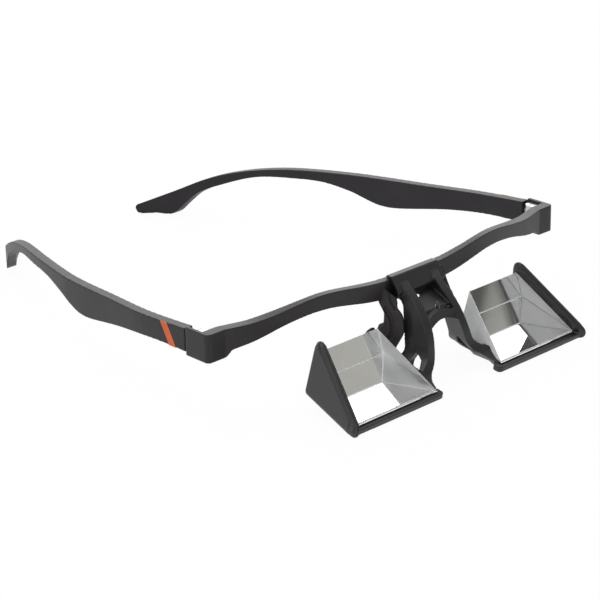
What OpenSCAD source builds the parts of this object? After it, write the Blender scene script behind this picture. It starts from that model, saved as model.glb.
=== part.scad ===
// Belay glasses: a brow-bar spectacle frame with folding temples that
// carries two silvered 30-60-90 prisms in a clip-on holder, so that a
// level gaze is turned upwards.
// Left and right are the wearer's. +X is the wearer's left, -Y is the
// way the wearer looks and +Z is up.

/* [Brow bar] */
// Width over the two end pieces
frame_w = 145; // [132:1:152]
// How far the middle of the bar stands in front of its ends
brow_wrap = 8.7; // [6:0.1:11]
// Height of the two crests above the end pieces
crest_rise = 3.3; // [1.5:0.1:5]
// Height of the flat middle above the end pieces
middle_rise = 1.0; // [0.2:0.1:2]
// Height of the bar in the middle
bar_mid_h = 5.6; // [4.6:0.1:7]
// Height of the bar at its slimmest
bar_slim_h = 4.3; // [3.4:0.1:5]
// Front-to-back thickness of the bar in the middle
bar_mid_t = 2.6; // [2.2:0.1:3.4]

/* [End pieces] */
// Height of an end piece
end_h = 8.5; // [8:0.1:10]
// Front-to-back length of an end piece
end_len = 9.7; // [9.2:0.1:11]
// Thickness of the bar where it meets an end piece
end_t = 3.6; // [3.2:0.1:4.2]
// Radius of an end piece's outer front corner
end_corner_r = 1.6; // [1:0.1:3]

/* [Temples] */
// Length from the end piece to the tip
temple_len = 140.2; // [125:1:150]
// Thickness of a temple
temple_t = 3.2; // [2.8:0.1:4]
// Height at the hinge
temple_front_h = 7.0; // [6.8:0.1:8]
// Height at the deepest place in front of the ear
temple_deep_h = 9.4; // [8:0.1:11]
// Height of the slim arm over the ear
temple_slim_h = 3.0; // [2.6:0.1:4]
// Height of the ear piece at its heel
ear_heel_h = 8.2; // [6:0.1:10]
// Height of the blunt tip
ear_tip_h = 3.4; // [2.8:0.1:5]
// How far the tip curls in from the hinge
ear_curl = 43.3; // [30:0.5:50]
// Width of the coloured stripe
stripe_w = 3.2; // [1.5:0.1:4]
// Depth of the stripe's inlay
stripe_depth = 0.3; // [0.2:0.05:0.6]

/* [Hinges] */
// Radius of the hinge knuckles
knuckle_r = 1.5; // [1.3:0.05:1.7]
// Radius of the hinge screw
screw_r = 0.7; // [0.5:0.05:0.8]
// Radius of the screw's head
screw_head_r = 1.15; // [1:0.05:1.25]
// Height of the stack of knuckles
hinge_h = 6.4; // [5.4:0.1:6.6]
// Thickness of the hinge leaves
leaf_t = 0.8; // [0.6:0.05:0.9]
// Length of the leaf set in the brow bar
front_leaf_len = 5; // [4:0.5:7]
// Length of the leaf set in the temple
temple_leaf_len = 8; // [6:0.5:10]
// Wall of the end piece outside the knuckles
end_wall = 1.3; // [1:0.1:1.8]

/* [Prisms] */
// Length of the sloping viewing face, top edge to bottom edge
prism_face = 24.3; // [20:0.1:26]
// Length of the prism along its bottom front edge
prism_len = 32.7; // [26:0.1:36]
// How much shorter the top edge is at each end
prism_taper = 5.75; // [0:0.05:8]
// Slope of the viewing face below level
prism_slope = 41.1; // [36:0.1:46]
// Distance between the inner front corners of the two prisms
prism_gap = 27.2; // [24:0.1:34]
// Distance of the prisms' top edge in front of the end pieces
prism_ahead = 12.9; // [11:0.1:16]
// Distance of the prisms' top edge below the end pieces
prism_below = 9.95; // [8:0.05:12]
// Thickness of the silvering and its backing paint
mirror_t = 0.15; // [0.1:0.05:0.3]
// Thickness of the bond under each prism
bond_t = 0.3; // [0.2:0.05:0.5]

/* [Holder] */
// Width of the block that clips over the brow bar
clip_w = 19.2; // [15:0.1:22]
// Wall of the block over the bar
clip_wall = 0.8; // [0.6:0.1:1.4]
// Clear gap between the two ribs
rib_gap = 10.4; // [9.6:0.1:14]
// Thickness of the ribs
rib_t = 2.6; // [2.2:0.1:3.2]
// Thickness of the shelf under each prism
shelf_t = 2.0; // [1.6:0.1:3]
// How far the shelf stands out in front of the prism
shelf_lip = 1.4; // [0.8:0.1:2.4]
// How far the shelf stands out past the prism's inner end
shelf_nub = 1.7; // [1.2:0.1:2.6]
// Thickness of the outer end plates
cap_t = 2.8; // [2.4:0.1:4]
// Rim of the end plates round the prism
cap_rim = 2.5; // [1.8:0.1:3]

/* [Nose piece] */
// Gap between a leg and the end of the clip block
leg_clear = 0.2; // [0.1:0.1:1]
// Thickness of a leg
leg_t = 1.4; // [1.3:0.1:2.2]
// Length of the legs below the end pieces
leg_drop = 19; // [17:0.5:22]
// Thickness of the soft pads
pad_t = 1.6; // [1:0.1:2]

/* [Fits] */
// Gap round pieces that are set in pockets
seat_gap = 0.05; // [0.02:0.01:0.1]
// Gap beside pieces that swing
swing_gap = 0.2; // [0.15:0.05:0.3]
// Radial gap between the screw and the temple's knuckle
screw_gap = 0.04; // [0.02:0.01:0.08]
// Gap between the holder and the bar it clips over
clip_gap = 0.1; // [0.05:0.05:0.2]

/* [Hidden] */
$fn = 48;
past = 1; // how far a cutter runs past the face it cuts

// Frame of reference: y = 0 is the front of the end pieces, z = 0 their top
half_w = frame_w / 2;
clip_half = clip_w / 2;
crest_x = 34;
crest_end_x = 60;
wrap_start_x = 22;
wrap_end_x = 66;
wrap_power = 1.6;
lobe_x = half_w - 6.7;

// Prism triangle, x along the viewing face towards its top edge, y out of it
face_top = [0, 0];
face_foot = [-prism_face, 0];
back_foot = [-prism_face / 4, -prism_face * sin(60) / 2];
base_tilt = prism_slope - 30;
foot_y = -prism_ahead - prism_face * cos(prism_slope);
foot_z = -prism_below - prism_face * sin(prism_slope);
inner_x = prism_gap / 2;
outer_x = inner_x + prism_len;
taper_angle = atan(prism_taper / prism_face);
under_glass = mirror_t + bond_t;
shelf_depth = under_glass + shelf_t;

// The lowest edge is trimmed flat by this much, to stand on
land_trim = 0.3;
rest_h = -foot_z + shelf_lip * sin(base_tilt) + shelf_depth * cos(base_tilt) - land_trim;

// Hinge axis and knuckles
axis_x = half_w - end_wall - swing_gap - knuckle_r;
knuckle_inset = 1.3;
axis_y = end_len - knuckle_r - knuckle_inset;
hinge_top_z = -0.8;
knuckle_slit = 0.08;
knuckle_h = (hinge_h - 2 * knuckle_slit) / 3;
screw_head_h = 0.5;
screw_slot_w = 0.3;
butt_y = end_len + swing_gap;
tip_y = end_len + temple_len;

// Colours
charcoal = [0.16, 0.155, 0.165];
rubber_black = [0.1, 0.1, 0.105];
orange = [0.85, 0.36, 0.12];
silver = [0.78, 0.78, 0.8];
clear_glass = [0.8, 0.88, 0.9, 0.5];

// Helpers
function ease(t) = let (c = max(0, min(1, t))) c * c * (3 - 2 * c);
function mix(a, b, t) = a + (b - a) * t;
function unit(v) = v / norm(v);
function turn(v, a) = [v.x * cos(a) - v.y * sin(a), v.x * sin(a) + v.y * cos(a)];
function cross2(a, b) = a.x * b.y - a.y * b.x;

// A corner [x, y, radius] between two neighbours, as the points of its arc
function corner(a, b, c, steps) =
    let (
        p = [b.x, b.y],
        u = unit([a.x, a.y] - p),
        v = unit([c.x, c.y] - p),
        half = acos(max(-1, min(1, u * v))) / 2,
        reach = b.z / tan(half),
        centre = p + unit(u + v) * b.z / sin(half),
        from = p + u * reach - centre,
        sweep = (180 - 2 * half) * (cross2(u, v) > 0 ? -1 : 1)
    )
    [for (i = [0:steps]) centre + turn(from, sweep * i / steps)];

// An outline of [x, y, radius] corners; a radius of 0 stays sharp
function rounded(pts, steps = 6) =
    let (n = len(pts))
    [for (i = [0:n - 1])
        each pts[i].z > 0
            ? corner(pts[(i + n - 1) % n], pts[i], pts[(i + 1) % n], steps)
            : [[pts[i].x, pts[i].y]]];

// A smooth curve through the given points
function through(pts, steps = 6) =
    let (last = len(pts) - 1)
    [for (i = [0:last - 1], k = [0:steps - 1])
        let (
            t = k / steps,
            a = pts[max(i - 1, 0)], b = pts[i],
            c = pts[i + 1], d = pts[min(i + 2, last)]
        )
        0.5 * (2 * b + (c - a) * t + (2 * a - 5 * b + 4 * c - d) * t * t
            + (3 * b - a - 3 * c + d) * t * t * t),
     pts[last]];

function reversed(pts) = [for (i = [len(pts) - 1:-1:0]) pts[i]];

// Sideways copies of a line, used as the two sides of a strip
function beside(pts, gap) =
    let (last = len(pts) - 1)
    [for (i = [0:last])
        let (along = unit(pts[min(i + 1, last)] - pts[max(i - 1, 0)]))
        pts[i] + gap * [along.y, -along.x]];
function strip(pts, in, out) = concat(beside(pts, out), reversed(beside(pts, in)));

module placed() {
    translate([0, -(front_y + tip_y) / 2, rest_h]) children();
}

// Pieces are drawn on the wearer's left and mirrored to the right
module on_side(side) {
    if (side > 0) children();
    else mirror([1, 0, 0]) children();
}

// Side views [y, z] pushed through along X, and front views [x, z] along Y
module side_slab(pts, x0, x1) {
    translate([x0, 0, 0]) rotate([90, 0, 90]) linear_extrude(x1 - x0) polygon(pts);
}
module front_slab(pts, y0, y1) {
    translate([0, y1, 0]) rotate([90, 0, 0]) linear_extrude(y1 - y0) polygon(pts);
}
module plan_slab(pts, z0, z1) {
    translate([0, 0, z0]) linear_extrude(z1 - z0) polygon(pts);
}

// Brow bar
function bar_front(x) =
    let (share = (abs(x) - wrap_start_x) / (wrap_end_x - wrap_start_x))
    -brow_wrap * (1 - pow(max(0, min(1, share)), wrap_power));
function bar_t(x) = mix(bar_mid_t, end_t, ease((abs(x) - 38) / 18));
function bar_top(x) =
    abs(x) < crest_x
        ? mix(middle_rise, crest_rise, ease((abs(x) - clip_half) / (crest_x - clip_half)))
        : mix(crest_rise, 0, ease((abs(x) - crest_x) / (crest_end_x - crest_x)));
function bar_h(x) =
    abs(x) < 46
        ? mix(bar_mid_h, bar_slim_h, ease((abs(x) - clip_half) / (46 - clip_half)))
        : mix(bar_slim_h, bar_slim_h + 2.4, ease((abs(x) - 46) / 22));

bar_xs = [for (i = [0:36]) i * lobe_x / 36];
bar_plan = concat(
    [for (x = bar_xs) [x, bar_front(x)]],
    rounded([
        [lobe_x + 0.1, 0, 0], [half_w, 0, end_corner_r], [half_w, end_len, 0.6],
        [half_w - 6, end_len, 0], [half_w - 6, end_t, 0]
    ]),
    reversed([for (x = bar_xs) if (x < half_w - 6.5) [x, bar_front(x) + bar_t(x)]])
);
bar_elevation = concat(
    [for (x = bar_xs) [x, bar_top(x)]],
    rounded([
        [half_w + past, 0, 0], [half_w + past, -end_h, 0], [lobe_x, -end_h, 1.4],
        [lobe_x - 1.8, bar_top(lobe_x) - bar_h(lobe_x), 0.8],
        [lobe_x - 4, bar_top(lobe_x - 4) - bar_h(lobe_x - 4), 0]
    ]),
    reversed([for (x = bar_xs) if (x < lobe_x - 4.1) [x, bar_top(x) - bar_h(x)]])
);

// Nose legs: plates that leave the bar beside the clip block, turned
// outwards towards the face and tilted outwards towards their lower ends
leg_x = clip_half + leg_clear;
leg_front_y = -12.5;
leg_turn_z = -6;
leg_splay = 30;
leg_tilt = 14;
leg_root_h = 4.6;
leg_foot_h = -(leg_drop + leg_turn_z) / cos(leg_tilt);
// Plate outline: distance back from leg_front_y, and height over leg_turn_z
plate_side = concat(
    through([
        [4.2, leg_root_h], [2.8, 3.4], [1.2, 2.2], [0.6, 0.8], [0.6, -0.2], [0.2, -1.1],
        [-0.8, -2.2], [-1.5, -3.8], [-1.8, -5.5], [-2, -7.2], [-1.5, -8.8], [-0.8, -10.3], [0, -11.8]
    ], 4),
    rounded([
        [0.6, leg_foot_h, 0], [6, leg_foot_h, 1.6], [6, -8.2, 2], [4.2, -5.4, 1.2],
        [4.2, -2.4, 2], [6, 0.6, 1.5], [6.6, leg_root_h, 0]
    ])
);
// Foot: a plate that runs straight back from the leg and carries the pad.
// Outlines: distance back from foot_front_y, and height over foot_top_z
foot_x = leg_x + 1.3;
foot_front_y = -9.5;
foot_top_z = -12;
foot_low_h = -(leg_drop + foot_top_z) / cos(leg_tilt);
foot_side = rounded([
    [-1.2, 1.2, 0], [1.1, 0, 1], [2.7, -1, 0.5], [3.4, -3.7, 0.6], [4.8, -3.7, 0.3], [5.2, -2.6, 0.3],
    [6.7, -3.9, 1], [8, -6, 0.6], [7.4, foot_low_h, 1.6], [2.6, foot_low_h, 1.8],
    [-1.6, -3.8, 2], [-1.6, -0.6, 0]
]);
pad_side = rounded([
    [1.2, -3, 1.2], [5, -3.9, 1], [6.4, -4.4, 0.6], [7.2, -5.8, 0.5],
    [6.8, foot_low_h + 0.4, 1.2], [2.8, foot_low_h + 0.4, 1.4], [0.8, -5, 1.2]
]);
// Groove along the outer face of a leg
groove_w = 1.1;
groove_depth = 0.6;
groove_line = through([[4.2, -0.9], [2.7, -2.7], [1.8, -4.7], [1.5, -7], [1.7, -8.6], [2.6, -10.4]], 4);
leg_thin_t = 0.8;
leg_thinning = [
    [-3, -2], [1, -1.4], [2.8, 1.4], [3.4, leg_root_h + past], [-3, leg_root_h + past]
];
// A plate in the plane of a leg, from x0 to x1 off its inner face
module leg_plate(outline, x0, x1) {
    translate([leg_x, leg_front_y, leg_turn_z]) rotate([0, 0, -leg_splay]) rotate([0, -leg_tilt, 0])
        side_slab(outline, x0, x1);
}
module foot_plate(outline, x0, x1) {
    translate([foot_x, foot_front_y, foot_top_z]) rotate([0, -leg_tilt, 0])
        side_slab(outline, x0, x1);
}
// Fillet between the bar's underside and the outer face of a leg
root_fillet = rounded([
    [leg_x, -2.4, 0], [leg_x, -6.8, 0], [leg_x + 1.4, -6.8, 0.5], [leg_x + 2, -5.4, 3],
    [leg_x + 8, -3, 0], [leg_x + 8, -2.4, 0]
]);
module nose_leg() {
    difference() {
        leg_plate(plate_side, 0, leg_t);
        leg_plate(strip(groove_line, groove_w / 2, -groove_w / 2), leg_t - groove_depth, leg_t + past);
        // the front edge thins out towards the bar
        leg_plate(leg_thinning, leg_thin_t, leg_t + past);
        // room for the clip block
        translate([0, leg_front_y - past, leg_turn_z]) cube([leg_x, half_w, 2 * end_h]);
    }
    front_slab(root_fillet, -8.2, -6.4);
    foot_plate(foot_side, 0, leg_t);
}

// Hinge pocket in the back of an end piece
module hinge_pocket() {
    // open slot for the knuckles
    translate([half_w - end_wall - 2 * knuckle_r - 3 * swing_gap - 1.6, end_t, -end_h - past])
        cube([2 * knuckle_r + 3 * swing_gap + 1.6, end_len, end_h + 2 * past]);
    // seat for the leaf
    translate([
        axis_x - front_leaf_len - seat_gap,
        end_t - leaf_t - seat_gap,
        hinge_top_z - hinge_h - seat_gap
    ])
        cube([front_leaf_len + knuckle_r + 2 * seat_gap, leaf_t + past, hinge_h + 2 * seat_gap]);
}

module half_front() {
    difference() {
        intersection() {
            plan_slab(bar_plan, -end_h - past, crest_rise + past);
            front_slab(bar_elevation, -brow_wrap - past, end_len + past);
        }
        hinge_pocket();
    }
    nose_leg();
}

module front_frame() {
    color(charcoal) placed() {
        half_front();
        mirror([1, 0, 0]) half_front();
    }
}

// Soft pads on the inner faces of the feet
module nose_pad(side) {
    color(rubber_black) placed() on_side(side) foot_plate(pad_side, -pad_t - seat_gap, -seat_gap);
}

// Prism and what lies under it, drawn in the frame of the viewing face
module in_prism_frame() {
    translate([0, -prism_ahead, -prism_below]) rotate([prism_slope, 0, 0]) children();
}
// Outline of the viewing face grown by the given amounts at its two ends
// and drawn on past its top and bottom edges
end_reach = 9;
end_slope = prism_taper / prism_face;
function face_plan(in_grow, out_grow) = [
    [inner_x - in_grow - end_slope * end_reach, -prism_face - end_reach],
    [outer_x + out_grow + end_slope * end_reach, -prism_face - end_reach],
    [outer_x + out_grow - prism_taper - end_slope * end_reach, end_reach],
    [inner_x - in_grow + prism_taper + end_slope * end_reach, end_reach]
];
module between_ends(in_grow, out_grow) {
    plan_slab(face_plan(in_grow, out_grow), -prism_face, end_reach);
}
// A layer under the base of the prism, from depth a to depth b
module base_layer(a, b, front_grow, back_grow) {
    length = prism_face * cos(30);
    translate([0, -prism_face, 0]) rotate([-30, 0, 0])
        translate([0, -front_grow, -b]) cube([half_w, length + front_grow + back_grow, b - a]);
}
module prism(side) {
    color(clear_glass) placed() on_side(side) in_prism_frame() intersection() {
        side_slab([face_top, face_foot, back_foot], 0, half_w);
        between_ends(0, 0);
    }
}
module mirror_coat(side) {
    color(silver) placed() on_side(side) in_prism_frame() intersection() {
        base_layer(0, mirror_t, 0, 0);
        between_ends(0, 0);
    }
}
module prism_bond(side) {
    color("gainsboro") placed() on_side(side) in_prism_frame() intersection() {
        base_layer(mirror_t, under_glass, -1, -1);
        between_ends(-1, -1);
    }
}

// Holder: end plate outline round the prism triangle
rim_back = shelf_depth;
cap_top_r = 1.9;
cap_foot_r = 2.2;
cap_back_r = 1;
function with_radius(p, r) = [p.x, p.y, r];
function cap_points(inset) = rounded([
    with_radius(face_top + (cap_rim - inset) / sin(30) * [cos(30), sin(30)], cap_top_r),
    with_radius(face_foot + (cap_rim - inset) / sin(15) * [-cos(15), sin(15)], cap_foot_r),
    with_radius(back_foot + (rim_back - inset) * [0.2, -1.25], cap_back_r)
]);
// Edges of a plate are rounded off in layers: [distance off both faces, inset]
cap_soft = 0.9;
cap_layers = [[cap_soft, 0], [0.4 * cap_soft, 0.35 * cap_soft], [0, cap_soft]];
// The plate leans with the end of the prism; its front-most point gives
// the front of the whole object
function leaned(x) = (x + prism_face) * cos(taper_angle) - prism_face;
function in_place_y(p) = -prism_ahead + leaned(p.x) * cos(prism_slope) - p.y * sin(prism_slope);
front_y = min([for (p = cap_points(0)) in_place_y(p)]);

module end_plate() {
    translate([outer_x + seat_gap, -prism_face, 0]) rotate([0, 0, taper_angle])
        translate([0, prism_face, 0]) rotate([90, 0, 90])
            for (layer = cap_layers)
                translate([0, 0, layer[0]])
                    linear_extrude(cap_t - 2 * layer[0]) polygon(cap_points(layer[1]));
}
// Shelf outline on the base plane: x, and distance back from the foot
base_len = prism_face * cos(30);
base_taper = prism_taper * cos(30) / prism_face;
shelf_outline = rounded([
    [inner_x - shelf_nub, -shelf_lip, 1.3], [outer_x + cap_t / 2, -shelf_lip, 0],
    [outer_x + cap_t / 2 - base_taper * base_len, base_len + 0.8, 0],
    [inner_x + base_taper * base_len, base_len + 0.8, 1.2],
    [inner_x + 0.4, 3, 1], [inner_x - shelf_nub, 1.4, 1]
]);
module shelf() {
    translate([0, -prism_face, 0]) rotate([-30, 0, 0])
        translate([0, 0, -shelf_depth]) linear_extrude(shelf_t) polygon(shelf_outline);
}

// Ribs: side view from the clip block down to the shelf, with a window
rib_side = concat(
    through([
        [-8.6, 1.3], [-10.4, 0], [-13.6, -2.5], [-16.3, -5], [-18.7, -7.7],
        [-21, -11], [-22.7, -15], [-23.6, -18.4], [-24.4, -21], [-25.8, -23.3], [-28.2, -25],
        [foot_y + 1.5, foot_z + 0.4]
    ], 4),
    rounded([
        [foot_y + 1.5, foot_z - shelf_depth + 1.2, 0], [-25.4, -26.4, 3], [-18.5, -26.1, 2],
        [-14.2, -25.7, 2.2], [-14, -21.6, 2], [-15.2, -18.6, 2.5], [-14.2, -14, 4], [-12.5, -6.6, 1],
        [-11.4, -5.2, 0.6], [-8.4, -4.4, 0]
    ]),
    [[-8.4, 1.3]]
);
rib_window = rounded([
    [-17.9, -21.4, 0.8], [-19.1, -18.6, 0.7], [-21.8, -20.3, 1], [-24, -22.7, 0.6],
    [-22.6, -23.6, 0.8], [-18.6, -22.9, 0.8]
]);
// Front view of a rib, swept backwards along lines that spread by rib_splay
rib_splay = 9;
rib_pivot_y = -10;
rib_reach = 8;
rib_mid = (rib_gap + rib_t) / 2;
rib_line = through([
    [rib_mid - 0.1, 3], [rib_mid + 0.1, -3], [rib_mid + 1.3, -8], [rib_mid + 2.8, -15.5],
    [rib_mid + 4.2, -20.2], [rib_mid + 7.5, -22.8], [rib_mid + 10.9, -25.4], [rib_mid + 15.5, -30]
]);
// Gusset under the outward bend of a rib
gusset_front = rounded([
    [rib_mid + 5, -22, 0], [rib_mid + 5, -24.4, 1.5], [rib_mid + 7.2, -27, 2],
    [rib_mid + 12, -27.4, 0], [rib_mid + 12, -25, 0], [rib_mid + 7.5, -22, 0]
]);
gusset_back_y = -20.6;
// Belly under the bend behind the gusset, down to its heel
belly_front = concat(
    through([
        [rib_mid + 4.1, -21.5], [rib_mid + 4.6, -22.4], [rib_mid + 5.5, -23.4], [rib_mid + 6.9, -24.6],
        [rib_mid + 8.5, -25.6], [rib_mid + 10.6, -26.3]
    ], 4),
    [[rib_mid + 10.6, -25.2], [rib_mid + 7.5, -22.8], [rib_mid + 4.6, -20.6]]
);
heel_y = -14.2;
module rib_turned() {
    translate([0, rib_pivot_y, 0]) rotate([0, 0, -rib_splay]) children();
}
module rib() {
    difference() {
        union() {
            intersection() {
                side_slab(rib_side, 0, half_w);
                union() {
                    rib_turned() front_slab(strip(rib_line, rib_t / 2, -rib_t / 2), foot_y, rib_reach);
                    front_slab(gusset_front, foot_y, gusset_back_y);
                }
            }
            rib_turned() front_slab(belly_front, gusset_back_y - rib_pivot_y, heel_y - rib_pivot_y);
        }
        side_slab(rib_window, 0, half_w);
    }
}

// Clip block: wraps the middle of the bar from above, with a hook below
block_top = middle_rise + clip_wall;
block_under = middle_rise - bar_mid_h - clip_gap;
bar_face = -brow_wrap;
bar_back = bar_face + bar_mid_t;
block_side = rounded([
    [bar_face - 0.4, block_top, 0.6], [bar_face - 3.6, block_top - 4.2, 0.6],
    [bar_face - 2.9, block_under + 0.6, 0.8], [bar_face - 0.4, block_under - 1.1, 0.6],
    [bar_back + 0.9, block_under - 1.1, 0.5], [bar_back + 0.9, block_under + 1.6, 0.3],
    [bar_back + clip_gap, block_under + 1.6, 0], [bar_back + clip_gap, block_under, 0],
    [bar_face - clip_gap, block_under, 0], [bar_face - clip_gap, middle_rise + clip_gap, 0],
    [bar_back - 0.7, middle_rise + clip_gap, 0], [bar_back - 0.7, block_top, 0.3]
]);
// Hollow behind the front wall of the block, open at its ends
hollow_side = rounded([
    [bar_face, block_top - 1.5, 0], [bar_face - 2.7, block_top - 4.6, 0.4],
    [bar_face - 2.1, block_under + 0.9, 0.4], [bar_face, block_under + 0.1, 0]
]);
hollow_depth = 1.8;

// Bridge between the ribs over the nose: an arched band and a thin web
// that runs back from it to the clip block
bridge_side = rounded([
    [-19, -6.8, 0.8], [-20.3, -10.6, 0], [-21.7, -13.4, 0], [-17.5, -13.4, 0], [-16.4, -7.6, 0.8]
]);
bridge_span = rib_gap / 2 + 1.6;
bridge_front = concat(
    through([
        [-bridge_span, -10.4], [-bridge_span / 2, -8.9], [0, -8.3],
        [bridge_span / 2, -8.9], [bridge_span, -10.4]
    ]),
    through([
        [bridge_span, -13.1], [bridge_span / 2, -11.6], [0, -10.9],
        [-bridge_span / 2, -11.6], [-bridge_span, -13.1]
    ])
);
web_side = [[-18, -8], [-18, -9], [bar_face - 0.6, block_under - 0.4], [bar_face - 0.6, block_under + 0.6]];
// Two openings through the web, both cut along one slanting line
opening_turn = -43.2;
opening_rise = 22.4;
opening_reach = 5;
web_notch = [[0, 0], [-0.65, -2.2], [0.95, -2.45]];
notch_place = [2.58, -15.4, -7.17];
web_eye_r = 0.5;
eye_place = [-1.97, -12.3, -5.34];
module web_openings() {
    translate(notch_place) rotate([90 - opening_rise, 0, opening_turn])
        translate([0, 0, -opening_reach]) linear_extrude(2 * opening_reach) polygon(web_notch);
    translate(eye_place) rotate([90 - opening_rise, 0, opening_turn])
        translate([0, 0, -opening_reach]) cylinder(r = web_eye_r, h = 2 * opening_reach);
}
module bridge() {
    difference() {
        union() {
            intersection() {
                side_slab(bridge_side, -bridge_span, bridge_span);
                front_slab(bridge_front, foot_y, bar_face);
            }
            side_slab(web_side, -bridge_span, bridge_span);
        }
        web_openings();
    }
}

module half_holder() {
    difference() {
        side_slab(block_side, 0, clip_half);
        side_slab(hollow_side, clip_half - hollow_depth, clip_half + past);
    }
    difference() {
        rib();
        // room for the prism and what lies under it
        in_prism_frame() intersection() {
            base_layer(-prism_face, under_glass, 3 * past, 3 * past);
            between_ends(seat_gap, 0);
        }
        // room for the bar
        translate([0, bar_face - clip_gap, block_under])
            cube([half_w, bar_mid_t + 3 * past, bar_mid_h + 2 * clip_gap]);
    }
    in_prism_frame() {
        shelf();
        end_plate();
    }
}
module prism_holder() {
    color(charcoal) placed() difference() {
        union() {
            half_holder();
            mirror([1, 0, 0]) half_holder();
            bridge();
        }
        // flat land along the lowest edge
        translate([-half_w, 2 * foot_y, -2 * rest_h]) cube([frame_w, -2 * foot_y, rest_h]);
    }
}

// Temples
temple_outer_x = half_w - 0.2;
centre_x = temple_outer_x - temple_t / 2;
function along(share) = butt_y + (tip_y - butt_y) * share;
temple_line = through([
    [centre_x, butt_y], [centre_x - ear_curl * 0.028, along(0.144)],
    [centre_x - ear_curl * 0.1, along(0.287)], [centre_x - ear_curl * 0.16, along(0.41)],
    [centre_x - ear_curl * 0.225, along(0.5)], [centre_x - ear_curl * 0.37, along(0.643)],
    [centre_x - ear_curl * 0.56, along(0.785)], [centre_x - ear_curl * 0.69, along(0.871)],
    [centre_x - ear_curl * 0.8, along(0.93)], [centre_x - ear_curl, along(1.0)],
    [centre_x - ear_curl * 1.25, along(1.06)]
]);
temple_top_z = -0.65;
slim_top_z = -7.2;
tip_top_z = -rest_h + ear_tip_h;
temple_side = concat(
    through([
        [butt_y, temple_top_z], [along(0.2), -2.9], [along(0.4), -4.9], [along(0.57), -6.4],
        [along(0.68), slim_top_z - 0.7], [along(0.77), slim_top_z - 3.2], [along(0.85), slim_top_z - 7],
        [along(0.93), slim_top_z - 12.8], [tip_y - 0.3, tip_top_z]
    ]),
    [[tip_y, tip_top_z - 1.2], [tip_y - 0.6, -rest_h + 0.5]],
    through([
        [tip_y - 1.6, -rest_h], [along(0.963), -rest_h + 0.25],
        [along(0.932), slim_top_z - 12.8 - ear_heel_h], [along(0.905), slim_top_z - 17],
        [along(0.873), slim_top_z - 12.6], [along(0.82), slim_top_z - 8.9],
        [along(0.73), slim_top_z - 1.4 - temple_slim_h], [along(0.63), slim_top_z - temple_slim_h],
        [along(0.56), slim_top_z + 0.3 - temple_slim_h], [along(0.49), slim_top_z - 4.2],
        [along(0.44), -4.6 - temple_deep_h * 0.93], [along(0.402), -4.9 - temple_deep_h],
        [along(0.35), -4.4 - temple_deep_h], [along(0.22), -10.3],
        [along(0.1), temple_top_z - temple_front_h - 0.6], [butt_y, temple_top_z - temple_front_h]
    ])
);
stripe_top_y = butt_y + 11.6;
stripe_lean = 5.6;
module stripe_cut(grow) {
    side_slab([
        [stripe_top_y - stripe_w / 2 - grow, 2], [stripe_top_y + stripe_w / 2 + grow, 2],
        [stripe_top_y - stripe_lean * 1.5 + stripe_w / 2 + grow, -12],
        [stripe_top_y - stripe_lean * 1.5 - stripe_w / 2 - grow, -12]
    ], axis_x, half_w + past);
}
module temple_skin(depth) {
    intersection() {
        side_slab(temple_side, 0, half_w + past);
        plan_slab(strip(temple_line, temple_t / 2 - depth, temple_t / 2 + past / 2), -rest_h, past);
    }
}
leaf_x0 = axis_x + 0.4;
leaf_low_z = hinge_top_z - hinge_h + 0.8;
leaf_h = hinge_h - 1.6;
module temple(side) {
    color(charcoal) placed() on_side(side) difference() {
        intersection() {
            side_slab(temple_side, 0, half_w + past);
            plan_slab(strip(temple_line, -temple_t / 2, temple_t / 2), -rest_h, past);
        }
        intersection() {
            temple_skin(stripe_depth);
            stripe_cut(seat_gap);
        }
        // blind slot for the hinge leaf
        translate([leaf_x0 - seat_gap, butt_y - past, leaf_low_z - seat_gap])
            cube([leaf_t + 2 * seat_gap, temple_leaf_len + past + seat_gap, leaf_h + 2 * seat_gap]);
    }
}
module temple_stripe(side) {
    color(orange) placed() on_side(side) intersection() {
        temple_skin(stripe_depth - seat_gap);
        plan_slab(strip(temple_line, 0, temple_t / 2), -rest_h, past);
        stripe_cut(0);
    }
}

// Hinges
module knuckle(level) {
    translate([axis_x, axis_y, hinge_top_z - level * (knuckle_h + knuckle_slit) - knuckle_h])
        cylinder(r = knuckle_r, h = knuckle_h);
}
module hinge_bore(r) {
    translate([axis_x, axis_y, hinge_top_z - hinge_h - past]) cylinder(r = r, h = hinge_h + 2 * past);
}
module hinge_front_leaf(side) {
    color(silver) placed() on_side(side) difference() {
        union() {
            for (level = [0, 2]) {
                knuckle(level);
                translate([
                    axis_x - knuckle_r,
                    end_t - leaf_t / 2,
                    hinge_top_z - level * (knuckle_h + knuckle_slit) - knuckle_h
                ])
                    cube([2 * knuckle_r, axis_y - end_t + leaf_t / 2, knuckle_h]);
            }
            translate([axis_x - front_leaf_len, end_t - leaf_t, hinge_top_z - hinge_h])
                cube([front_leaf_len + knuckle_r, leaf_t, hinge_h]);
        }
        hinge_bore(screw_r + screw_gap);
        translate([axis_x, axis_y, hinge_top_z - screw_head_h - seat_gap])
            cylinder(r = screw_head_r + seat_gap, h = screw_head_h + past);
    }
}
module hinge_temple_leaf(side) {
    color(silver) placed() on_side(side) difference() {
        union() {
            knuckle(1);
            translate([leaf_x0, axis_y, hinge_top_z - 2 * knuckle_h - knuckle_slit])
                cube([leaf_t, butt_y - axis_y + past, knuckle_h]);
            translate([leaf_x0, butt_y + seat_gap, leaf_low_z])
                cube([leaf_t, temple_leaf_len - seat_gap, leaf_h]);
        }
        hinge_bore(screw_r + screw_gap);
    }
}
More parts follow.
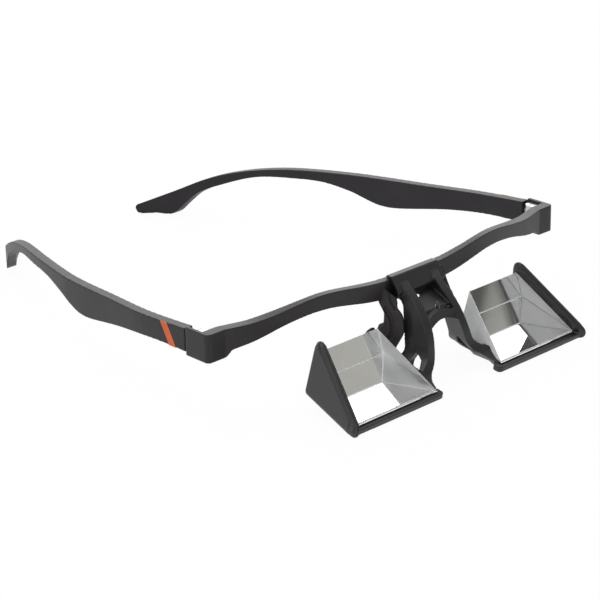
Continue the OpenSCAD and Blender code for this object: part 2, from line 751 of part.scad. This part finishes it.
module hinge_screw(side) {
    color(silver) placed() on_side(side) difference() {
        translate([axis_x, axis_y, hinge_top_z]) {
            translate([0, 0, -hinge_h]) cylinder(r = screw_r, h = hinge_h - screw_head_h / 2);
            translate([0, 0, -screw_head_h]) cylinder(r = screw_head_r, h = screw_head_h);
        }
        translate([axis_x - screw_head_r - past, axis_y - screw_slot_w / 2, hinge_top_z - screw_head_h / 2])
            cube([2 * screw_head_r + 2 * past, screw_slot_w, screw_head_h]);
    }
}

front_frame();
nose_pad(1);  // nose_pad_left
nose_pad(-1);  // nose_pad_right
prism_holder();
prism(1);  // prism_left
prism(-1);  // prism_right
mirror_coat(1);  // mirror_coat_left
mirror_coat(-1);  // mirror_coat_right
prism_bond(1);  // prism_bond_left
prism_bond(-1);  // prism_bond_right
temple(1);  // temple_left
temple(-1);  // temple_right
temple_stripe(1);  // temple_stripe_left
temple_stripe(-1);  // temple_stripe_right
hinge_front_leaf(1);  // hinge_front_leaf_left
hinge_front_leaf(-1);  // hinge_front_leaf_right
hinge_temple_leaf(1);  // hinge_temple_leaf_left
hinge_temple_leaf(-1);  // hinge_temple_leaf_right
hinge_screw(1);  // hinge_screw_left
hinge_screw(-1);  // hinge_screw_right
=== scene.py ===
# Belay glasses on a white table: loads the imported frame, dresses it and lights it.
import math

import bpy
from mathutils import Matrix, Vector


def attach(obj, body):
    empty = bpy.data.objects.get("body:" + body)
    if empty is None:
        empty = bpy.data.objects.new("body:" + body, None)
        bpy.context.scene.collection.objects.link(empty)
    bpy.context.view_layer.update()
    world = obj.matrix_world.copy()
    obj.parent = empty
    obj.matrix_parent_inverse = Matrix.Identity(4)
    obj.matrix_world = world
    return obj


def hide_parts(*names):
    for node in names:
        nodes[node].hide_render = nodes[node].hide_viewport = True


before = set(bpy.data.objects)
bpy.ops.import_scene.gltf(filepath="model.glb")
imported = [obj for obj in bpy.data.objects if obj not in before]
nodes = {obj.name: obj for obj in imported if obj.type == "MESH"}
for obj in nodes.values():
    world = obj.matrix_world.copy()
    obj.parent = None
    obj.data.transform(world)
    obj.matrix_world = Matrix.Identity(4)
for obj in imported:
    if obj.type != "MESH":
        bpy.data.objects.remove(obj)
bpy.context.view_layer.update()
mm = 0.001
print("frame loaded:", len(nodes), "nodes")


# Small helpers for selecting, copying and finishing

mergeWithin = 0.002 * mm  # corners this close are one point
relaxStep = 0.5


def deselectAll():
    bpy.ops.object.select_all(action="DESELECT")


def makeActive(piece):
    deselectAll()
    piece.select_set(True)
    bpy.context.view_layer.objects.active = piece


def copyNodes(names, pieceName):
    # one loose copy of one or more nodes, with its doubles merged
    copies = []
    for name in names:
        twin = nodes[name].copy()
        twin.data = nodes[name].data.copy()
        twin.parent = None
        twin.matrix_world = Matrix.Identity(4)
        twin.data.materials.clear()
        bpy.context.scene.collection.objects.link(twin)
        copies.append(twin)
    makeActive(copies[0])
    for twin in copies:
        twin.select_set(True)
    if len(copies) > 1:
        bpy.ops.object.join()
    piece = bpy.context.view_layer.objects.active
    piece.name = pieceName
    bpy.ops.object.mode_set(mode="EDIT")
    bpy.ops.mesh.select_all(action="SELECT")
    bpy.ops.mesh.remove_doubles(threshold=mergeWithin)
    bpy.ops.object.mode_set(mode="OBJECT")
    return piece


def applyModifier(piece, kind, **settings):
    makeActive(piece)
    modifier = piece.modifiers.new(kind.lower(), kind)
    for key, value in settings.items():
        setattr(modifier, key, value)
    bpy.ops.object.modifier_apply(modifier=modifier.name)


def mouldSoft(piece, look, thick=None):
    # a skin of small voxels, relaxed so that every edge gets a moulding radius,
    # and relaxed further where the moulding is thick enough to stand it
    applyModifier(piece, "REMESH", mode="VOXEL", voxel_size=look["voxel"] * mm, adaptivity=0.0)
    applyModifier(piece, "SMOOTH", factor=relaxStep, iterations=look["relax"])
    if thick:
        group = piece.vertex_groups.new(name="thick")
        group.add([v.index for v in piece.data.vertices if thick(v.co / mm)], 1.0, "REPLACE")
        applyModifier(piece, "SMOOTH", factor=relaxStep, iterations=look["thickRelax"],
                      vertex_group="thick")
        piece.vertex_groups.clear()
    applyModifier(piece, "DECIMATE", ratio=look["keep"])
    makeActive(piece)
    bpy.ops.object.shade_smooth()


def settle(piece, body, material, replaced):
    piece.data.materials.clear()
    piece.data.materials.append(material)
    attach(piece, body)
    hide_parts(replaced)


# Materials. In every look, "rough" is the range of roughness, a name ending in Scale
# is how fine that noise is, and grainDepth is in millimetres.

rampEnds = (0.3, 0.7)  # where the darker and the lighter colour of a finish stand on its noise


class NodeBench:
    # a few shorthands for one material's node tree
    def __init__(self, name):
        self.material = bpy.data.materials.new(name)
        self.material.use_nodes = True
        self.tree = self.material.node_tree
        self.shader = self.tree.nodes["Principled BSDF"]
        self.place = self.tree.nodes.new("ShaderNodeTexCoord").outputs["Object"]

    def add(self, kind, **settings):
        node = self.tree.nodes.new(kind)
        for key, value in settings.items():
            setattr(node, key, value)
        return node

    def link(self, a, b):
        self.tree.links.new(a, b)

    def noise(self, scale, detail=2.0, stretch=None):
        texture = self.add("ShaderNodeTexNoise")
        texture.inputs["Scale"].default_value = scale
        texture.inputs["Detail"].default_value = detail
        if stretch:
            mapping = self.add("ShaderNodeMapping")
            mapping.inputs["Scale"].default_value = stretch
            self.link(self.place, mapping.inputs["Vector"])
            self.link(mapping.outputs["Vector"], texture.inputs["Vector"])
        else:
            self.link(self.place, texture.inputs["Vector"])
        return texture.outputs["Fac"]

    def tint(self, source, colours, ends=rampEnds):
        ramp = self.add("ShaderNodeValToRGB")
        for element, at, colour in zip(ramp.color_ramp.elements, ends, colours):
            element.position = at
            element.color = (*colour, 1.0)
        self.link(source, ramp.inputs["Fac"])
        self.link(ramp.outputs["Color"], self.shader.inputs["Base Color"])
        return ramp.outputs["Color"]

    def roughen(self, source, rough):
        span = self.add("ShaderNodeMapRange")
        span.inputs["To Min"].default_value = rough[0]
        span.inputs["To Max"].default_value = rough[1]
        self.link(source, span.inputs["Value"])
        self.link(span.outputs["Result"], self.shader.inputs["Roughness"])

    def bump(self, height, look):
        bump = self.add("ShaderNodeBump")
        bump.inputs["Distance"].default_value = look["grainDepth"] * mm
        bump.inputs["Strength"].default_value = look["grainStrength"]
        self.link(height, bump.inputs["Height"])
        self.link(bump.outputs["Normal"], self.shader.inputs["Normal"])

    def set(self, **values):
        for key, value in values.items():
            self.shader.inputs[key.replace("_", " ")].default_value = value


# Moulded plastics: a cloudy colour, patchy gloss and a fine spark-eroded grain

mouldLook = {"cloudScale": 90.0, "glossScale": 420.0, "grainDepth": 0.02, "grainStrength": 0.35}
frontPlastic = {"colours": ((0.014, 0.0115, 0.014), (0.021, 0.0175, 0.021)),
                "rough": (0.36, 0.44), "grainScale": 4200.0, "sheen": 0.36}
armPlastic = {"colours": ((0.012, 0.01, 0.0125), (0.018, 0.015, 0.0185)),
              "rough": (0.36, 0.44), "grainScale": 4200.0, "sheen": 0.28}
holderPlastic = {"colours": ((0.0115, 0.0098, 0.012), (0.0165, 0.0145, 0.0175)),
                 "rough": (0.34, 0.42), "grainScale": 4200.0, "sheen": 0.5}
inlayPlastic = {"colours": ((0.5, 0.08, 0.014), (0.6, 0.12, 0.024)),
                "rough": (0.38, 0.5), "grainScale": 5200.0, "sheen": 0.3}


def mouldedPlastic(name, look):
    bench = NodeBench(name)
    bench.set(Specular_IOR_Level=look["sheen"])
    bench.tint(bench.noise(mouldLook["cloudScale"], detail=4.0), look["colours"])
    bench.roughen(bench.noise(mouldLook["glossScale"], detail=3.0), look["rough"])
    bench.bump(bench.noise(look["grainScale"]), mouldLook)
    return bench.material


# Nose pads

rubberLook = {"colours": ((0.012, 0.012, 0.013), (0.022, 0.022, 0.024)), "ends": (0.35, 0.7),
              "rough": (0.6, 0.78), "mottleScale": 260.0, "glossScale": 900.0,
              "grainScale": 5200.0, "grainDepth": 0.03, "grainStrength": 0.4}


def softRubber():
    bench = NodeBench("soft rubber")
    mottle = bench.noise(rubberLook["mottleScale"], detail=3.0)
    bench.tint(mottle, rubberLook["colours"], rubberLook["ends"])
    bench.roughen(bench.noise(rubberLook["glossScale"]), rubberLook["rough"])
    bench.bump(bench.noise(rubberLook["grainScale"]), rubberLook)
    return bench.material


# Prism glass, polished and ground

glassIndex = 1.52
polishLook = {"colours": ((0.97, 0.98, 0.975), (0.985, 0.99, 0.985)), "rough": (0.0, 0.0003),
              "tintScale": 30.0, "hazeScale": 700.0}
groundLook = {"rough": (0.5, 0.7), "mottleScale": 140.0, "glossScale": 2400.0,
              "grainScale": 7000.0, "grainDepth": 0.02, "grainStrength": 0.5}
# clear is the share that the frosted skin refracts, through the share it scatters to the far side
innerEndLook = {"colours": ((0.92, 0.94, 0.96), (0.98, 0.99, 1.0)), "clear": 0.0, "through": 0.5}
outerEndLook = {"colours": ((0.93, 0.95, 0.97), (0.99, 0.995, 1.0)), "clear": 0.0, "through": 0.05}
chamferLook = {"colours": ((0.96, 0.97, 0.97), (0.99, 0.99, 0.99)), "clear": 0.3, "through": 0.5}


def polishedGlass():
    bench = NodeBench("polished prism glass")
    bench.set(Transmission_Weight=1.0, IOR=glassIndex)
    bench.tint(bench.noise(polishLook["tintScale"]), polishLook["colours"])
    bench.roughen(bench.noise(polishLook["hazeScale"], detail=4.0), polishLook["rough"])
    return bench.material


def groundGlass(name, look):
    bench = NodeBench(name)
    bench.set(Transmission_Weight=look["clear"], IOR=glassIndex)
    colour = bench.tint(bench.noise(groundLook["mottleScale"], detail=5.0), look["colours"])
    bench.roughen(bench.noise(groundLook["glossScale"], detail=3.0), groundLook["rough"])
    bench.bump(bench.noise(groundLook["grainScale"], detail=3.0), groundLook)
    veil = bench.add("ShaderNodeBsdfTranslucent")
    bench.link(colour, veil.inputs["Color"])
    blend = bench.add("ShaderNodeMixShader")
    blend.inputs["Fac"].default_value = look["through"]
    bench.link(bench.shader.outputs["BSDF"], blend.inputs[1])
    bench.link(veil.outputs["BSDF"], blend.inputs[2])
    bench.link(blend.outputs["Shader"], bench.tree.nodes["Material Output"].inputs["Surface"])
    return bench.material


# Silvering and the bond under it

silverLook = {"colours": ((0.93, 0.93, 0.925), (0.96, 0.96, 0.955)), "rough": (0.0, 0.0005),
              "tintScale": 60.0, "hazeScale": 1500.0}
resinLook = {"colours": ((0.5, 0.5, 0.47), (0.62, 0.62, 0.58)), "rough": (0.35, 0.5),
             "mottleScale": 700.0, "glossScale": 1900.0}


def silvering():
    bench = NodeBench("silvered base")
    bench.set(Metallic=1.0)
    bench.tint(bench.noise(silverLook["tintScale"]), silverLook["colours"])
    bench.roughen(bench.noise(silverLook["hazeScale"]), silverLook["rough"])
    return bench.material


def bondResin():
    bench = NodeBench("bond resin")
    bench.tint(bench.noise(resinLook["mottleScale"], detail=3.0), resinLook["colours"])
    bench.roughen(bench.noise(resinLook["glossScale"]), resinLook["rough"])
    return bench.material


# Hinge steel, with fine lines: how fine they are along X, Y and Z

steelLook = {"colours": ((0.48, 0.48, 0.47), (0.7, 0.7, 0.69)), "rough": (0.2, 0.38),
             "grainDepth": 0.01, "grainStrength": 0.4,
             "leafLines": (400.0, 6000.0, 400.0), "screwLines": (2500.0, 2500.0, 9000.0)}


def turnedSteel(name, stretch):
    bench = NodeBench(name)
    bench.set(Metallic=1.0)
    lines = bench.noise(1.0, detail=3.0, stretch=stretch)
    bench.tint(lines, steelLook["colours"])
    bench.roughen(lines, steelLook["rough"])
    bench.bump(lines, steelLook)
    return bench.material


charcoal = mouldedPlastic("charcoal moulding", frontPlastic)
armCharcoal = mouldedPlastic("charcoal arm", armPlastic)
holderBlack = mouldedPlastic("holder moulding", holderPlastic)
orange = mouldedPlastic("orange inlay", inlayPlastic)
rubber = softRubber()
glass = polishedGlass()
innerEnd = groundGlass("ground inner end", innerEndLook)
outerEnd = groundGlass("ground outer end", outerEndLook)
groundEdge = groundGlass("ground prism edge", chamferLook)
mirror = silvering()
resin = bondResin()
leafSteel = turnedSteel("leaf steel", steelLook["leafLines"])
screwSteel = turnedSteel("screw steel", steelLook["screwLines"])
print("materials made")


# Front frame, holder, pads and arms, with moulding radii; lengths in millimetres

frontLook = {"voxel": 0.18, "relax": 2, "thickRelax": 4, "legsWithin": 21.0, "keep": 0.3}
holderLook = {"voxel": 0.18, "relax": 4, "thickRelax": 12, "platesBeyond": 40.5, "keep": 0.25}
padLook = {"voxel": 0.16, "relax": 6, "keep": 0.6}
armLook = {"voxel": 0.22, "relax": 5, "keep": 0.4}

frontPiece = copyNodes(["front_frame"], "browBarMoulding")
mouldSoft(frontPiece, frontLook, lambda co: abs(co.x) > frontLook["legsWithin"])
settle(frontPiece, "front", charcoal, "front_frame")

holderPiece = copyNodes(["prism_holder"], "prismHolderMoulding")
mouldSoft(holderPiece, holderLook, lambda co: abs(co.x) > holderLook["platesBeyond"])
settle(holderPiece, "front", holderBlack, "prism_holder")

for side in ("left", "right"):
    pad = copyNodes(["nose_pad_" + side], "nosePadMoulding." + side)
    mouldSoft(pad, padLook)
    settle(pad, "front", rubber, "nose_pad_" + side)

    # the stripe's seat is filled, so that the arm is one smooth moulding under it
    arm = copyNodes(["temple_" + side, "temple_stripe_" + side], "armMoulding." + side)
    mouldSoft(arm, armLook)
    settle(arm, "temple_arm_" + side, armCharcoal, "temple_" + side)
print("mouldings made")


# Orange stripes, a shade proud of the arm so that they lie on its skin

stripeLook = {"proud": 0.07, "edge": 0.05, "edgeSteps": 2, "sharpFrom": math.radians(50)}
for side, outward in (("left", 1), ("right", -1)):
    stripe = copyNodes(["temple_stripe_" + side], "armStripe." + side)
    makeActive(stripe)
    bpy.ops.object.mode_set(mode="EDIT")
    bpy.ops.mesh.select_all(action="SELECT")
    bpy.ops.transform.translate(value=(outward * stripeLook["proud"] * mm, 0, 0))
    bpy.ops.object.mode_set(mode="OBJECT")
    applyModifier(stripe, "BEVEL", width=stripeLook["edge"] * mm, segments=stripeLook["edgeSteps"],
                  limit_method="ANGLE", angle_limit=stripeLook["sharpFrom"])
    settle(stripe, "temple_arm_" + side, orange, "temple_stripe_" + side)


# Prisms: polished faces, ground ends and chamfers, silvered base

prismLook = {"frontChamfer": 0.5, "chamfer": 0.24, "flatWithin": math.radians(1)}
prismFinish = {"polished": glass, "innerEnd": innerEnd, "base": mirror, "edge": groundEdge,
               "outerEnd": outerEnd}
finishOrder = list(prismFinish)
facing = 0.7  # a face looks along an axis when its normal has this much of it


def finishOf(face):
    if abs(face.normal.x) > facing:
        return "outerEnd" if face.normal.x * face.center.x > 0 else "innerEnd"
    return "base" if face.normal.z < -facing else "polished"


def cutPrism(side):
    prism = copyNodes(["prism_" + side], "wedgePrism." + side)
    mesh = prism.data
    for material in prismFinish.values():
        mesh.materials.append(material)
    bpy.ops.object.mode_set(mode="EDIT")
    bpy.ops.mesh.select_all(action="SELECT")
    bpy.ops.mesh.dissolve_limited(angle_limit=prismLook["flatWithin"])
    bpy.ops.object.mode_set(mode="OBJECT")
    for face in mesh.polygons:
        face.material_index = finishOrder.index(finishOf(face))
    # the wide chamfer runs along the bottom front edge, the lowest one
    bpy.ops.object.mode_set(mode="EDIT")
    bpy.ops.mesh.select_mode(type="EDGE")
    bpy.ops.mesh.select_all(action="DESELECT")
    bpy.ops.object.mode_set(mode="OBJECT")
    lowest = min(vertex.co.z for vertex in mesh.vertices) + 0.1 * mm
    for edge in mesh.edges:
        edge.select = all(mesh.vertices[i].co.z < lowest for i in edge.vertices)
    ground = finishOrder.index("edge")
    bpy.ops.object.mode_set(mode="EDIT")
    bpy.ops.mesh.bevel(offset=prismLook["frontChamfer"] * mm, segments=1, material=ground)
    bpy.ops.mesh.select_all(action="SELECT")
    bpy.ops.mesh.bevel(offset=prismLook["chamfer"] * mm, segments=1, material=ground)
    bpy.ops.object.mode_set(mode="OBJECT")
    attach(prism, "front")
    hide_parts("prism_" + side)


for side in ("left", "right"):
    cutPrism(side)
print("prisms cut")


# Small pieces that keep their CAD shape

def dress(name, material):
    mesh = nodes[name].data
    mesh.materials.clear()
    mesh.materials.append(material)


for side in ("left", "right"):
    dress("mirror_coat_" + side, mirror)
    dress("prism_bond_" + side, resin)
    dress("hinge_front_leaf_" + side, leafSteel)
    dress("hinge_temple_leaf_" + side, leafSteel)
    dress("hinge_screw_" + side, screwSteel)


# Table

tableLook = {"size": 8.0, "white": (0.9, 0.9, 0.9, 1.0), "rough": 0.7, "shadowKeep": 0.05}
scene = bpy.context.scene
scene.view_settings.view_transform = "Standard"

deselectAll()
bpy.ops.mesh.primitive_plane_add(size=tableLook["size"], location=(0, 0, 0))
table = bpy.context.object
table.name = "tableTop"
tableBench = NodeBench("white table")
path = tableBench.add("ShaderNodeLightPath")
glow = tableBench.add("ShaderNodeEmission")
seen = tableBench.add("ShaderNodeMixShader")
shade = tableBench.add("ShaderNodeMath", operation="MULTIPLY")
shade.inputs[1].default_value = 1.0 - tableLook["shadowKeep"]
# seen by the camera, in a mirror or through glass, the table is plain white
mirrored = tableBench.add("ShaderNodeMath", operation="MAXIMUM")
tableBench.link(path.outputs["Is Glossy Ray"], mirrored.inputs[0])
tableBench.link(path.outputs["Is Transmission Ray"], mirrored.inputs[1])
looked = tableBench.add("ShaderNodeMath", operation="MAXIMUM")
tableBench.link(path.outputs["Is Camera Ray"], looked.inputs[0])
tableBench.link(mirrored.outputs["Value"], looked.inputs[1])
tableBench.link(looked.outputs["Value"], shade.inputs[0])
tableBench.link(shade.outputs["Value"], seen.inputs["Fac"])
tableBench.set(Base_Color=tableLook["white"], Roughness=tableLook["rough"])
tableBench.link(tableBench.shader.outputs["BSDF"], seen.inputs[1])
tableBench.link(glow.outputs["Emission"], seen.inputs[2])
tableBench.link(seen.outputs["Shader"], tableBench.tree.nodes["Material Output"].inputs["Surface"])
table.data.materials.append(tableBench.material)


# Room: white behind and above, grey in front, where a dark lamp stand shows in one prism

roomLook = {
    "backWhite": (1.0, 1.0, 1.0, 1.0),
    "frontGrey": (0.4, 0.392, 0.362, 1.0),
    "greyUntil": -0.75,  # along Y, from -1 straight ahead of the wearer to 1 straight behind
    "whiteFrom": 0.15,
}
standLook = {
    "azimuth": -41.6,
    "height": 0.374,
    "sides": (-0.02, 0.012),
    # each arm of the stand: how it leans, and how light it is from one side to the other
    "arms": (
        (0.2, ((0.2, 1.0), (0.3, 0.12), (0.5, 0.1), (0.62, 0.62), (0.8, 0.8), (1.0, 1.0))),
        (-0.34, ((0.6, 1.0), (0.72, 0.16), (0.76, 0.16), (0.86, 0.5), (1.0, 1.0))),
    ),
}


def buildWorld():
    world = bpy.data.worlds.new("studio")
    scene.world = world
    world.use_nodes = True
    tree = world.node_tree
    background = tree.nodes["Background"]
    link = tree.links.new

    def add(kind, **settings):
        node = tree.nodes.new(kind)
        for key, value in settings.items():
            setattr(node, key, value)
        return node

    direction = add("ShaderNodeTexCoord").outputs["Generated"]
    axes = add("ShaderNodeSeparateXYZ")
    link(direction, axes.inputs["Vector"])
    backness = add("ShaderNodeMapRange", interpolation_type="SMOOTHSTEP")
    backness.inputs["From Min"].default_value = roomLook["greyUntil"]
    backness.inputs["From Max"].default_value = roomLook["whiteFrom"]
    link(axes.outputs["Y"], backness.inputs["Value"])
    # Mix keeps one set of sockets per data type: its colours are inputs 6 and 7 and output 2
    room = add("ShaderNodeMix", data_type="RGBA")
    room.inputs[6].default_value = roomLook["frontGrey"]
    room.inputs[7].default_value = roomLook["backWhite"]
    link(backness.outputs["Result"], room.inputs["Factor"])

    azimuth = math.radians(standLook["azimuth"])
    beside = add("ShaderNodeVectorMath", operation="DOT_PRODUCT")
    beside.inputs[1].default_value = (-math.sin(azimuth), math.cos(azimuth), 0.0)
    link(direction, beside.inputs[0])
    shaded = room.outputs[2]
    for lean, stops in standLook["arms"]:
        rise = add("ShaderNodeMath", operation="MULTIPLY_ADD")
        rise.inputs[1].default_value = lean
        rise.inputs[2].default_value = -lean * standLook["height"]
        link(axes.outputs["Z"], rise.inputs[0])
        across = add("ShaderNodeMath", operation="ADD")
        link(beside.outputs["Value"], across.inputs[0])
        link(rise.outputs["Value"], across.inputs[1])
        span = add("ShaderNodeMapRange")
        span.inputs["From Min"].default_value = standLook["sides"][0]
        span.inputs["From Max"].default_value = standLook["sides"][1]
        link(across.outputs["Value"], span.inputs["Value"])
        ramp = add("ShaderNodeValToRGB")
        ramp.color_ramp.interpolation = "B_SPLINE"
        elements = ramp.color_ramp.elements
        while len(elements) < len(stops):
            elements.new(0.5)
        for element, (at, level) in zip(elements, stops):
            element.position = at
            element.color = (level, level, level, 1.0)
        link(span.outputs["Result"], ramp.inputs["Fac"])
        # in front of the glasses only
        darker = add("ShaderNodeMix", data_type="RGBA", blend_type="MULTIPLY")
        ahead = add("ShaderNodeMath", operation="LESS_THAN")
        ahead.inputs[1].default_value = 0.0
        link(axes.outputs["Y"], ahead.inputs[0])
        link(ahead.outputs["Value"], darker.inputs["Factor"])
        link(shaded, darker.inputs[6])
        link(ramp.outputs["Color"], darker.inputs[7])
        shaded = darker.outputs[2]
    # camera rays see plain white
    path = add("ShaderNodeLightPath")
    seen = add("ShaderNodeMix", data_type="RGBA")
    seen.inputs[7].default_value = roomLook["backWhite"]
    link(path.outputs["Is Camera Ray"], seen.inputs["Factor"])
    link(shaded, seen.inputs[6])
    link(seen.outputs[2], background.inputs["Color"])
    background.inputs["Strength"].default_value = 1.0


buildWorld()


# Lamps, in metres and watts

lampLook = {
    "topSoftbox": {"place": (-0.15, 0.25, 1.1), "towards": (0, 0, 0), "size": (0.9, 0.7), "power": 3.2},
    "leftSoftbox": {"place": (-1.1, -0.3, 0.7), "towards": (0, -0.05, 0.02), "size": (0.6, 0.6),
                    "power": 1.9},
    "backSoftbox": {"place": (0.76, 0.81, 0.5), "towards": (0, 0, 0), "size": (0.9, 0.5), "power": 2.4},
}
for name, look in lampLook.items():
    deselectAll()
    bpy.ops.object.light_add(type="AREA", location=look["place"])
    lamp = bpy.context.object
    lamp.name = name
    lamp.data.shape = "RECTANGLE"
    lamp.data.size, lamp.data.size_y = look["size"]
    lamp.data.energy = look["power"]
    aim = Vector(look["towards"]) - Vector(look["place"])
    lamp.rotation_euler = aim.to_track_quat("-Z", "Y").to_euler()
print("room lit")


# Camera at the photograph's place; lengths in millimetres, angles in degrees

cameraLook = {
    "target": (5.5, -12.01, 2.86),
    "azimuth": -43.18,
    "elevation": 22.36,
    "roll": -1.2,
    "distance": 715.24,
    "lens": 137.04,
    "sensor": 36.0,
    "seesFrom": 10.0,
}


def placeCamera():
    azimuth = math.radians(cameraLook["azimuth"])
    elevation = math.radians(cameraLook["elevation"])
    roll = math.radians(cameraLook["roll"])
    back = Vector((math.sin(azimuth) * math.cos(elevation), -math.cos(azimuth) * math.cos(elevation),
                   math.sin(elevation)))
    level = Vector((math.cos(azimuth), math.sin(azimuth), 0))
    rise = back.cross(level)
    right = level * math.cos(roll) + rise * math.sin(roll)
    up = rise * math.cos(roll) - level * math.sin(roll)
    place = Vector(cameraLook["target"]) * mm + back * cameraLook["distance"] * mm
    deselectAll()
    bpy.ops.object.camera_add(location=place)
    camera = bpy.context.object
    camera.name = "photoCamera"
    camera.data.lens = cameraLook["lens"]
    camera.data.sensor_width = cameraLook["sensor"]
    camera.data.clip_start = cameraLook["seesFrom"] * mm
    camera.rotation_euler = Matrix((right, up, back)).transposed().to_euler()
    scene.camera = camera


placeCamera()
print("camera placed")
